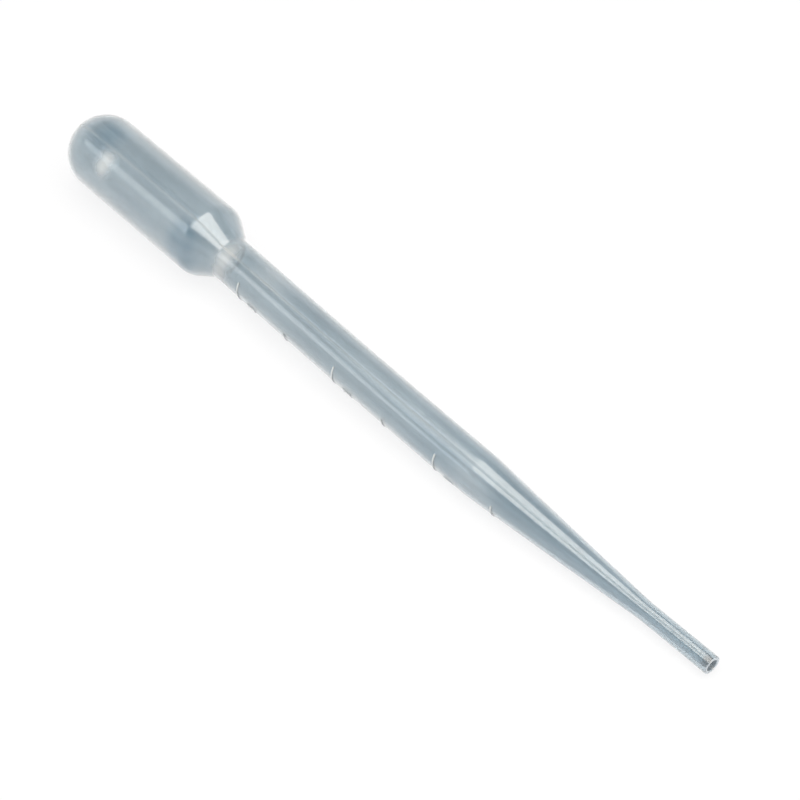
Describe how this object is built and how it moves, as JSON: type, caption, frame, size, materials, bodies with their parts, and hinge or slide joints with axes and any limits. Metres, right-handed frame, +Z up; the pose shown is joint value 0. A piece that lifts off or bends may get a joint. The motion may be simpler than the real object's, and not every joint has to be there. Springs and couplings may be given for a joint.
{
  "type": "dropper pipette",
  "caption": "Plastic dropper pipette: a squeeze bulb, a graduated stem and a long tapered tip, blow moulded in one piece and open at the tip.",
  "frame": {"origin": "on the surface that it lies on, under the centre of its box", "axes": "+X from the bulb towards the open tip, +Z up; the axis dips by 2.34 degrees from the bulb to the tip"},
  "size_m": [0.155, 0.0136, 0.0148],
  "materials": {
    "ldpe": "milky translucent soft plastic with a low gloss"
  },
  "bodies": {
    "root": {"pipette": "ldpe"}
  },
  "joints": []
}
